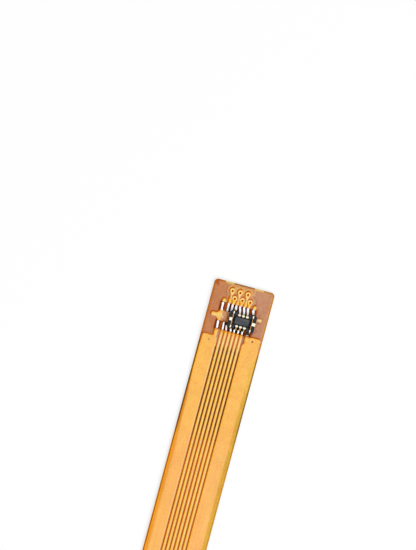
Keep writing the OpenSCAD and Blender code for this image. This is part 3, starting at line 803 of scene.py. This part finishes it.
def window_floor(x, d):
    """Bare base film between the pads: painted shade makes it nearly black by the solder, darker at the left
    end and under the socket; orange brown where it is wide.
    """
    wide = np.maximum(fade(-1.3, -1.2, x), smooth(1.1, 1.2, x))
    warm = smooth(0.02, 0.07, top_art(x, d)) * wide * (0.55 + 0.45 * blotches(x, d, 0.12, 21))
    lower = smooth(LOWER - 0.1, LOWER, d)
    warm *= 1 - lower * (0.3 + 0.4 * smooth(1.0, 1.1, x)) - 0.5 * (1 - lower) * bell(x, 1.22, 0.08)
    return painted(
        look(78, 20, 8),
        ((198, 90, 10), warm),
        # Painted shade at the window's left end
        ((92, 30, 6), fade(WINDOW_X[0] + 0.04, WINDOW_X[0] + 0.12, x)),
        # Painted shade under the socket, nearly black
        ((16, 6, 6), lower * smooth(-0.6, -0.3, x) * fade(1.0, 1.2, x)),
    )


def base_tone(x, d):
    """Tone of the base film, covered and bare."""
    head = head_part(d)
    side = np.maximum(smooth(RIGHT_EDGE, RIGHT_EDGE + 0.1, x), fade(LEFT_EDGE - 0.1, LEFT_EDGE, x))
    tone = mix((0.18, 0.05, 0.004), (0.45, 0.17, 0.02), head)
    tone = mix(tone, (0.95, 0.45, 0.03), side * (1 - head))
    # Painted light: a lighter base film on the socket's left makes up for the socket's shade, except under
    # the painted shade at its tab
    tone = mix(tone, (0.95, 0.55, 0.25), beside_socket(x, d) * (1 - shade_by_socket(x, d)))
    for x0, x1 in NOTCHES:
        tone = painted(tone, ((218, 181, 102), (x > x0 - 0.01) & (x < x1 + 0.01) & (d < NOTCH_D + 0.01)))
    tone = mix(tone, (0.4, 0.17, 0.035), smooth(FINGER_D - 0.1, FINGER_D, d))
    return mix(tone, window_floor(x, d), near_windows(x, d) < 0.001)


def back_tone(x, d):
    s = back_art(x, d)
    tone = mix((0.42, 0.18, 0.03), (0.93, 0.46, 0.1), covered(s))
    return mix(tone, (0.22, 0.07, 0.008), 0.45 * bell(s, 0.03, 0.03))


# Grid of the films, which follows the artwork


def lines(special, zones):
    """Grid lines: special ones, the zones' ends, and fill. Zones are (end, widest step)."""
    points = sorted(set(round(v, 4) for v in [*special, *(end for end, step in zones)]))
    kept = [points[0]]
    for p in points[1:]:
        if p - kept[-1] > 0.008:
            kept.append(p)
    out = [kept[0]]
    for a, b in zip(kept, kept[1:]):
        step = next(s for end, s in zones if (a + b) / 2 < end)
        n = max(1, math.ceil((b - a) / step - 1e-6))
        out += [a + (b - a) * k / n for k in range(1, n + 1)]
    return np.array(out)


RIDGE, RELIEF = 0.09, 0.045  # width and height of the film's slope beside the copper
cross_lines = [*WINDOW_X, *NOTCHES[0], *NOTCHES[1], LEFT_EDGE, LEFT_EDGE - RIDGE, LEFT_BAND,
               LEFT_BAND + RIDGE, RIGHT_BAND, RIGHT_BAND - RIDGE, RIGHT_EDGE, RIGHT_EDGE + RIDGE]
for side in (-1, 1):
    cross_lines += [side * (HALF_W - k * RIM) for k in (0, 0.25, 0.5, 1)]
    for i in SIGNALS:
        edge = SIGNAL_X[i] + side * TRACE / 2
        cross_lines += [edge, edge + side * RIDGE]

FINE, ROUND = 0.036, 0.06  # steps on the artwork, and round the outline's corners
TAIL_ARC = END_D - CORNER_R
head_lines = [0, NOTCH_D, CORNER_R, UPPER, UPPER_END, LOWER, LOWER_END]
XS = lines(cross_lines, [(HALF_W, FINE)])
COVER_D = lines(head_lines, [(7.2, FINE), (12.2, 0.25), (18.2, 0.5), (54.6, 3.0), (FINGER_D, FINE)])
BASE_D = lines([*head_lines, FINGER_D],
               [(5.0, ROUND), (7.2, 0.25), (54.6, 3.0), (TAIL_ARC, 0.3), (END_D, ROUND)])
BACK_D = lines([0], [(CORNER_R, ROUND), (6, 1.5), (55, 3.0), (TAIL_ARC, 1.5), (END_D, ROUND)])


def snap_outline(px, pd):
    """Moves a point on the corner's staircase to the outline's arc."""
    cx = math.copysign(HALF_W - CORNER_R, px)
    cd = CORNER_R if pd < HALF_L else TAIL_ARC
    if abs(px) > abs(cx) and (pd < CORNER_R or pd > TAIL_ARC):
        k = CORNER_R / max(1e-9, math.hypot(px - cx, pd - cd))
        return cx + (px - cx) * k, cd + (pd - cd) * k
    return px, pd


def corners_of(cells, shape):
    """Grid points that touch a marked cell."""
    touched = np.zeros(shape, bool)
    for a in (0, 1):
        for b in (0, 1):
            touched[a:a + cells.shape[0], b:b + cells.shape[1]] |= cells
    return touched


def cut_grid(ds, holes, gone):
    """Grid points, moved to the outline and the holes' rims, the cells' middles, and which cells stay."""
    gx, gd = np.meshgrid(XS, ds, indexing="ij")
    px, pd = gx.copy(), gd.copy()
    cx, cd = (gx[:-1, :-1] + gx[1:, 1:]) / 2, (gd[:-1, :-1] + gd[1:, 1:]) / 2
    outside = rounded_outline(cx, cd) >= 0
    keep = ~outside
    if gone:
        keep &= ~gone(cx, cd)
    for hx, hd, hr in holes:
        inside = sd_disc(cx, cd, hx, hd, hr) < 0
        rim = corners_of(inside, px.shape) & corners_of(~inside, px.shape)
        far = np.hypot(gx[rim] - hx, gd[rim] - hd)
        px[rim], pd[rim] = hx + (gx[rim] - hx) * hr / far, hd + (gd[rim] - hd) * hr / far
        keep &= ~inside
    past = rounded_outline(gx, gd) > 1e-6
    for i, j in zip(*np.nonzero(corners_of(outside, px.shape) | past)):
        px[i, j], pd[i, j] = snap_outline(px[i, j], pd[i, j])
    return px, pd, cx, cd, keep


# Films


def place(x, d, z):
    """Point of the frame, in metres."""
    return (x * MM, (HALF_L - d) * MM, z * MM)


def add_piece(name, mesh, mats):
    for m in mats:
        mesh.materials.append(m)
    obj = bpy.data.objects.new(name, mesh)
    scene.collection.objects.link(obj)
    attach(obj, "root")
    return obj


def film_skin(name, ds, height, tone, wall_z, mats, holes=(), gone=None, slot_of=None):
    """One face of a film, with walls to wall_z. height, tone, gone and slot_of are functions of x and d."""
    px, pd, cx, cd, keep = cut_grid(ds, holes, gone)
    z, colour = height(px, pd), tone(px, pd)
    cell_slot = slot_of(cx, cd) if slot_of else np.zeros(cx.shape, int)
    verts, index, colours, faces, slots = [], {}, [], [], []

    def add_vert(i, j, at):
        verts.append(place(px[i, j], pd[i, j], at))
        colours.append((*colour[i, j], 1))
        return len(verts) - 1

    def vert(i, j):
        if (i, j) not in index:
            index[i, j] = add_vert(i, j, z[i, j])
        return index[i, j]

    faces_up = wall_z < z.max() - 1e-9
    sides = []
    for i, j in zip(*np.nonzero(keep)):
        quad = [(i, j), (i, j + 1), (i + 1, j + 1), (i + 1, j)]
        if not faces_up:
            quad.reverse()
        faces.append([vert(*q) for q in quad])
        slots.append(cell_slot[i, j])
        sides += zip(quad, quad[1:] + quad[:1])
    shared = set(sides)
    for a, b in sides:
        if (b, a) not in shared:
            faces.append([add_vert(*b, z[b]), add_vert(*a, z[a]), add_vert(*a, wall_z), add_vert(*b, wall_z)])
            slots.append(0)
    mesh = bpy.data.meshes.new(name)
    mesh.from_pydata(verts, [], faces)
    attribute = mesh.attributes.new("tone", "FLOAT_COLOR", "POINT")
    attribute.data.foreach_set("color", np.array(colours, np.float32).ravel())
    mesh.polygons.foreach_set("use_smooth", [True] * len(faces))
    obj = add_piece(name, mesh, mats)
    mesh.polygons.foreach_set("material_index", slots)
    mesh.update()
    return obj


def cover_gone(x, d):
    gone = (d > FINGER_D) | (near_windows(x, d) < 0)
    for x0, x1 in NOTCHES:
        gone |= sd_rect(x, d, x0, x1, -1, NOTCH_D) < 0
    return gone


def cover_height(x, d):
    """Level over the copper, sunk beside it, rounded at the outline, dimpled over the closed hole."""
    z = FILM_Z - RELIEF * smooth(0.0, RIDGE, top_art(x, d))
    z -= 0.02 * fade(0, RIM, -rounded_outline(x, d))
    return z - 0.02 * fade(0.02, 0.12, sd_disc(x, d, *LEFT_VIA, 0))


def back_height(x, d):
    return BACK_Z + COPPER_T * smooth(0.0, RIDGE, back_art(x, d))


def level(z):
    return lambda x, d: np.full(x.shape, z)


def in_window(x, d):
    """Material slot of the base film: 1 in the windows, 0 elsewhere."""
    return (near_windows(x, d) < 0).astype(int)


CLEAR = 0.003  # keeps a film off the faces it lies on
HOLE_R = 0.12  # hole in the base film round a plated wall
openings = [(x, d, OPENING_R) for x, d in RINGS] + [(*RIGHT_VIA, HOLE_D / 2)]
drilled = [(x, d, HOLE_R) for x, d in [*RINGS, RIGHT_VIA]]

cover = film_skin("cover_film_skin", COVER_D, cover_height, cover_tone, TOP_Z + CLEAR, [cover_mat],
                  openings, cover_gone)
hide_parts("cover_film")

base = film_skin("base_film_skin", BASE_D, level(TOP_Z), base_tone, BASE_Z, [base_mat, bare_mat],
                 drilled, None, in_window)
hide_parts("base_film")
under = film_skin("base_film_underside", BACK_D, level(BASE_Z), base_tone, BASE_Z + CLEAR, [base_mat])

back = film_skin("back_film_skin", BACK_D, back_height, back_tone, BASE_Z - CLEAR, [back_mat])
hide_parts("back_cover_film")


# Plated rings and fingers


def soften(obj, width, segments=2):
    mod = obj.modifiers.new("soft_edges", "BEVEL")
    mod.width = width * MM
    mod.segments = segments
    mod.limit_method = "ANGLE"
    mod.angle_limit = math.radians(35)


def finish_mesh(name, bm, mats, bevel=0.0):
    bmesh.ops.recalc_face_normals(bm, faces=bm.faces)
    mesh = bpy.data.meshes.new(name)
    bm.to_mesh(mesh)
    bm.free()
    obj = add_piece(name, mesh, mats)
    if bevel:
        soften(obj, bevel)
    return obj


def slab(bm, x0, x1, d0, d1, z0, z1):
    middle = Matrix.Translation(place((x0 + x1) / 2, (d0 + d1) / 2, (z0 + z1) / 2))
    size = Matrix.Diagonal((MM * (x1 - x0), MM * (d1 - d0), MM * (z1 - z0), 1))
    bmesh.ops.create_cube(bm, size=1, matrix=middle @ size)


PLATE_T = 0.003
FLOOR_R, MOUTH_R, RIM_R = 0.072, HOLE_D / 2, RING_D / 2 + PLATE_T
# Section of a ring as (radius, height): funnel of the hole, flat, and rim turned down
SECTION = [(FLOOR_R, BASE_Z + 0.02), (0.084, BASE_Z + 0.035), (0.094, PAD_Z - 0.02), (MOUTH_R, PAD_Z + 0.001)]
SECTION += [(r, PAD_Z + PLATE_T) for r in (MOUTH_R + 0.028, 0.145, 0.165, 0.185, RIM_R - 0.014)]
SECTION += [(RIM_R - 0.004, PAD_Z - 0.001), (RIM_R, PAD_Z - 0.01), (RIM_R, TOP_Z + 0.001)]


def stitch(bm, loops, slot=0):
    """Smooth faces between each loop of points and the next."""
    for a, b in zip(loops, loops[1:]):
        for k in range(len(a)):
            face = bm.faces.new((a[k - 1], a[k], b[k], b[k - 1]))
            face.smooth = True
            face.material_index = slot


def circle(bm, cx, cd, r, z, n=40):
    turns = [2 * math.pi * k / n for k in range(n)]
    return [bm.verts.new(place(cx + r * math.cos(t), cd - r * math.sin(t), z)) for t in turns]


def ring_tone(rx, rd, r):
    """Colour on a ring: gold on the flat, orange round the mouth with a painted light spreading it onto the
    flat's lower side, red brown down the hole.
    """
    lit_orange = fade(0.11, 0.18, np.hypot(rx, rd - 0.055))
    tone = mix((1.0, 0.76, 0.2), (0.9, 0.3, 0.0), np.maximum(lit_orange, r < MOUTH_R))
    return mix(tone, (0.4, 0.068, 0.0), fade(MOUTH_R - 0.02, MOUTH_R + 0.015, r))


def ring(bm, cx, cd, floor_tone=None):
    """Plated ring, whose hole may have a colour of its own."""
    layer = bm.verts.layers.float_color["tone"]
    circles = [circle(bm, cx, cd, r, z) for r, z in SECTION]
    bm.faces.new(circles[0])
    stitch(bm, circles)
    for (r, z), verts in zip(SECTION, circles):
        for v in verts:
            tone = floor_tone
            if not floor_tone or r > MOUTH_R:
                tone = ring_tone(v.co.x / MM - cx, HALF_L - v.co.y / MM - cd, r)
            v[layer] = (*tone, 1)


bm = bmesh.new()
bm.verts.layers.float_color.new("tone")
for cx, cd in RINGS:
    ring(bm, cx, cd)
ring(bm, *RIGHT_VIA, (0.46, 0.14, 0.025))
finish_mesh("ring_plating", bm, [ring_mat])

bm = bmesh.new()
fingers = [(SIGNAL_X[i] - FINGER_W / 2, SIGNAL_X[i] + FINGER_W / 2) for i in SIGNALS]
fingers += [(LEFT_EDGE, LEFT_BAND), (RIGHT_BAND, RIGHT_EDGE)]
for x0, x1 in fingers:
    slab(bm, x0 - PLATE_T, x1 + PLATE_T, FINGER_D, FINGER_END + PLATE_T, TOP_Z, PAD_Z + PLATE_T)
finger_plating = finish_mesh("finger_plating", bm, [gold_mat], 0.006)


# Solder, and painted shade over the pads


def bead(bm, pad_x, a, b, widths, heights, seed, slot=0):
    """Round-ended bead from a to b, as (x from the pad's middle, d), with half widths and heights."""
    layer = bm.verts.layers.float_color["tone"]
    wob = np.random.default_rng(seed).uniform(-1, 1, 6)
    (ax, ad), (bx, bd) = (pad_x + a[0], a[1]), (pad_x + b[0], b[1])
    length = math.hypot(bx - ax, bd - ad)
    ux, ud = (bx - ax) / length, (bd - ad) / length
    nx, nd = -ud, ux
    # Outline of the bead as (share of the way, out along it, out across it)
    arc = [math.pi * k / 12 for k in range(13)]
    outline = [(0.0, -math.sin(t), math.cos(t)) for t in arc] + [(k / 9, 0.0, -1.0) for k in range(1, 9)]
    outline += [(1 - t, -out, -across) for t, out, across in outline]
    loops = []
    for f in (1.0, 0.97, 0.9, 0.78, 0.6, 0.4, 0.2, 0.0):
        # Painted warm reflection and shade down the bead's flanks
        tone = mix((1.0, 1.0, 1.0), (0.6, 0.32, 0.22), smooth(0.74, 1.0, f))
        loop = []
        for t, out, across in outline:
            r, h = (start + (end - start) * t for start, end in (widths, heights))
            r *= 1 + 0.08 * wob[0] * math.sin(3 * t + 4 * wob[1]) + 0.05 * wob[2] * across
            h *= 1 + 0.1 * wob[3] * math.sin(5 * t + 3 * wob[4])
            x = ax + (bx - ax) * t + 0.06 * wob[5] * r * nx + f * r * (out * ux + across * nx)
            d = ad + (bd - ad) * t + f * r * (out * ud + across * nd)
            v = bm.verts.new(place(x, d, PAD_Z + h * (1 - f ** 4.0) ** 0.55))
            v[layer] = (*tone, 1)
            loop.append(v)
        loops.append(loop)
    stitch(bm, loops, slot)
    bmesh.ops.remove_doubles(bm, verts=loops[-1], dist=1e-7)


def beads(name, mats, start, end, rows):
    """Beads on a row of pads, with their ends given from the pads' start and end."""
    bm = bmesh.new()
    bm.verts.layers.float_color.new("tone")
    for pad_x, (ax, ad), (bx, bd), *rest in rows:
        bead(bm, pad_x, (ax, start + ad), (bx, end + bd), *rest)
    return finish_mesh(name, bm, mats)


# Dark slabs over the pads: painted shade beside the solder beads
PAD_SHADE_T = 0.004
bm = bmesh.new()
for row_d in (UPPER, LOWER):
    for k, (x, w) in enumerate(PADS):
        start = LOWER_END - SHORT_PAD if row_d == LOWER and k + 1 in CONTACT_X else row_d
        half = w / 2 + PAD_SHADE_T
        slab(bm, x - half, x + half, start, row_d + PAD_L, TOP_Z + PAD_SHADE_T, PAD_Z + PAD_SHADE_T)
finish_mesh("pad_shade_slabs", bm, [pad_shade_mat], 0.008)

# Painted shade: a dark glaze that hides the lower right power pad up to its end
beads("power_pad_shade", [power_pad_shade_mat], LOWER, LOWER_END, [
    (RIGHT_PAD, (-0.02, 0.15), (-0.04, -0.3), (0.15, 0.13), (0.02, 0.03), 301),
    (RIGHT_PAD, (-0.1, 0.53), (0.06, -0.26), (0.07, 0.06), (0.025, 0.02), 302),
])

LEAN = 0.03  # how far a bead's upper end stands left of its pad's middle
LOW = (0.036, 0.03)  # heights of a bead that stays clear of the socket
DULL = 1  # slot of the dull solder
upper_row = [
    (LEFT_PAD, (-LEAN, 0.14), (-0.01, -0.2), (0.125, 0.1), LOW, 11),
    (LEFT_PAD, (-0.07, 0.78), (0.07, -0.07), (0.065, 0.065), (0.03, 0.03), 12),
    (SIGNAL_X[1], (-LEAN, 0.1), (0, -0.12), (0.115, 0.105), LOW, 18),
    (SIGNAL_X[2], (-LEAN, 0.1), (0, -0.12), (0.115, 0.105), LOW, 25),
    (SIGNAL_X[3], (-LEAN, 0.1), (0, -0.43), (0.115, 0.12), (0.06, 0.08), 101),
]
for i, foot in CONTACT_X.items():
    lean, width = (LEAN, 0.13) if i == 6 else (0.05, 0.115)
    end = (foot - SIGNAL_X[i] - 0.01, SOCKET_D - 0.81 - UPPER_END)
    upper_row.append((SIGNAL_X[i], (-lean, 0.09), end, (width, 0.12), (0.07, 0.125), 101 + 5 * i))
upper_row.append((RIGHT_PAD, (-0.06, 0.13), (0.02, -0.4), (0.14, 0.11), (0.06, 0.06), 107))
upper_solder = beads("upper_row_solder_beads", [solder_mat], UPPER, UPPER_END, upper_row)
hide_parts("upper_row_solder")

lower_row = [
    (LEFT_PAD, (-LEAN, 0.12), (0.01, -0.12), (0.12, 0.095), LOW, 42),
    (SIGNAL_X[1], (-LEAN, 0.11), (0.01, -0.1), (0.092, 0.09), LOW, 49),
    (SIGNAL_X[2], (-0.1, 0.36), (-0.02, -0.1), (0.07, 0.08), (0.03, 0.03), 56),
    (SIGNAL_X[3], (0.01, 0.55), (0.04, -0.1), (0.09, 0.092), (0.1, 0.07), 201),
]
for i in CONTACT_X:
    lower_row.append((SIGNAL_X[i], (-0.01, 0.56), (0.01, -0.1), (0.085, 0.092), (0.115, 0.08), 201 + 5 * i))
lower_row.append((RIGHT_PAD, (-0.09, 0.76), (0.07, -0.1), (0.07, 0.06), (0.03, 0.025), 207, DULL))
lower_solder = beads("lower_row_solder_beads", [solder_mat, dull_solder_mat], LOWER, LOWER_END, lower_row)
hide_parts("lower_row_solder")


# Finishes of the CAD nodes that stay: word in the name, material, bevel, segments
finishes = [("conductor", copper_mat, 0, 0), ("contact", contact_mat, 0.012, 3),
            ("terminal", bar_mat, 0.026, 3), ("stiffener", stiff_mat, 0.02, 2),
            ("housing", housing_mat, 0.012, 2)]
for word, mat, bevel, segments in finishes:
    for obj in [nodes[name] for name in nodes if word in name]:
        obj.data.materials.clear()
        obj.data.materials.append(mat)
        if bevel:
            soften(obj, bevel, segments)


# Stage, light and camera, in metres


def floor_material():
    """Pale, and nearly white to the camera and in reflections."""
    m = material("pale_floor", (0.93, 0.93, 0.93), 0.8, specular=0.1)
    rays = node(m, "LightPath", {}).outputs
    seen = maths(m, "MAXIMUM", rays["Is Camera Ray"], rays["Is Glossy Ray"])
    seen = maths(m, "MAXIMUM", seen, rays["Is Transmission Ray"])
    white, pale = node(m, "Emission", {}), m.node_tree.nodes["Principled BSDF"]
    values = {0: maths(m, "MULTIPLY", seen, 0.7), 1: pale.outputs[0], 2: white.outputs[0]}
    mixed = node(m, "MixShader", values)
    fill(m, m.node_tree.nodes["Material Output"].inputs, {"Surface": mixed.outputs[0]})
    return m


bpy.ops.mesh.primitive_plane_add(size=2.4, location=(0, 0, 0))
floor = bpy.context.object
floor.name = "floor"
floor.data.materials.append(floor_material())

# Studio dome: bright overhead, dim at the horizon, so that metal shows its form
world = bpy.data.worlds.new("studio")
scene.world = world
world.use_nodes = True
rise = node(world, "SeparateXYZ", {0: node(world, "TexCoord", {}).outputs["Generated"]}).outputs["Z"]
sky = {"Color": (1, 1, 1), "Strength": ramp(world, rise, 0.285, 1.3, 0.6, 1.0)}
fill(world, world.node_tree.nodes["Background"].inputs, sky)

# Soft key light from the lower right of the view
KEY_PLACE, KEY_AIM = Vector((0.31, -0.18, 0.42)), Vector((0, 0.02, 0))
lamp = bpy.data.lights.new("key", "AREA")
lamp.energy = 2.1
lamp.size = 0.35
key_light = bpy.data.objects.new("key", lamp)
scene.collection.objects.link(key_light)
key_light.location = KEY_PLACE
key_light.rotation_euler = (KEY_AIM - KEY_PLACE).to_track_quat("-Z", "Y").to_euler()

# Camera straight down on the strip, which leans as in the photograph
STRIP_LEAN = math.radians(15.06)
AIM = Vector(place(-3.89, -0.07, FILM_Z))
LENS, SENSOR = 200.0, 36.0
FRAME_HEIGHT = 55.0 * MM
camera = bpy.data.cameras.new("camera")
camera.lens = LENS
camera.sensor_width = SENSOR
camera.clip_start = 0.005
camera.clip_end = 20
eye = bpy.data.objects.new("camera", camera)
scene.collection.objects.link(eye)
eye.location = AIM + Vector((0, 0, FRAME_HEIGHT * LENS / SENSOR))
eye.rotation_euler = (0, 0, STRIP_LEAN)
scene.camera = eye
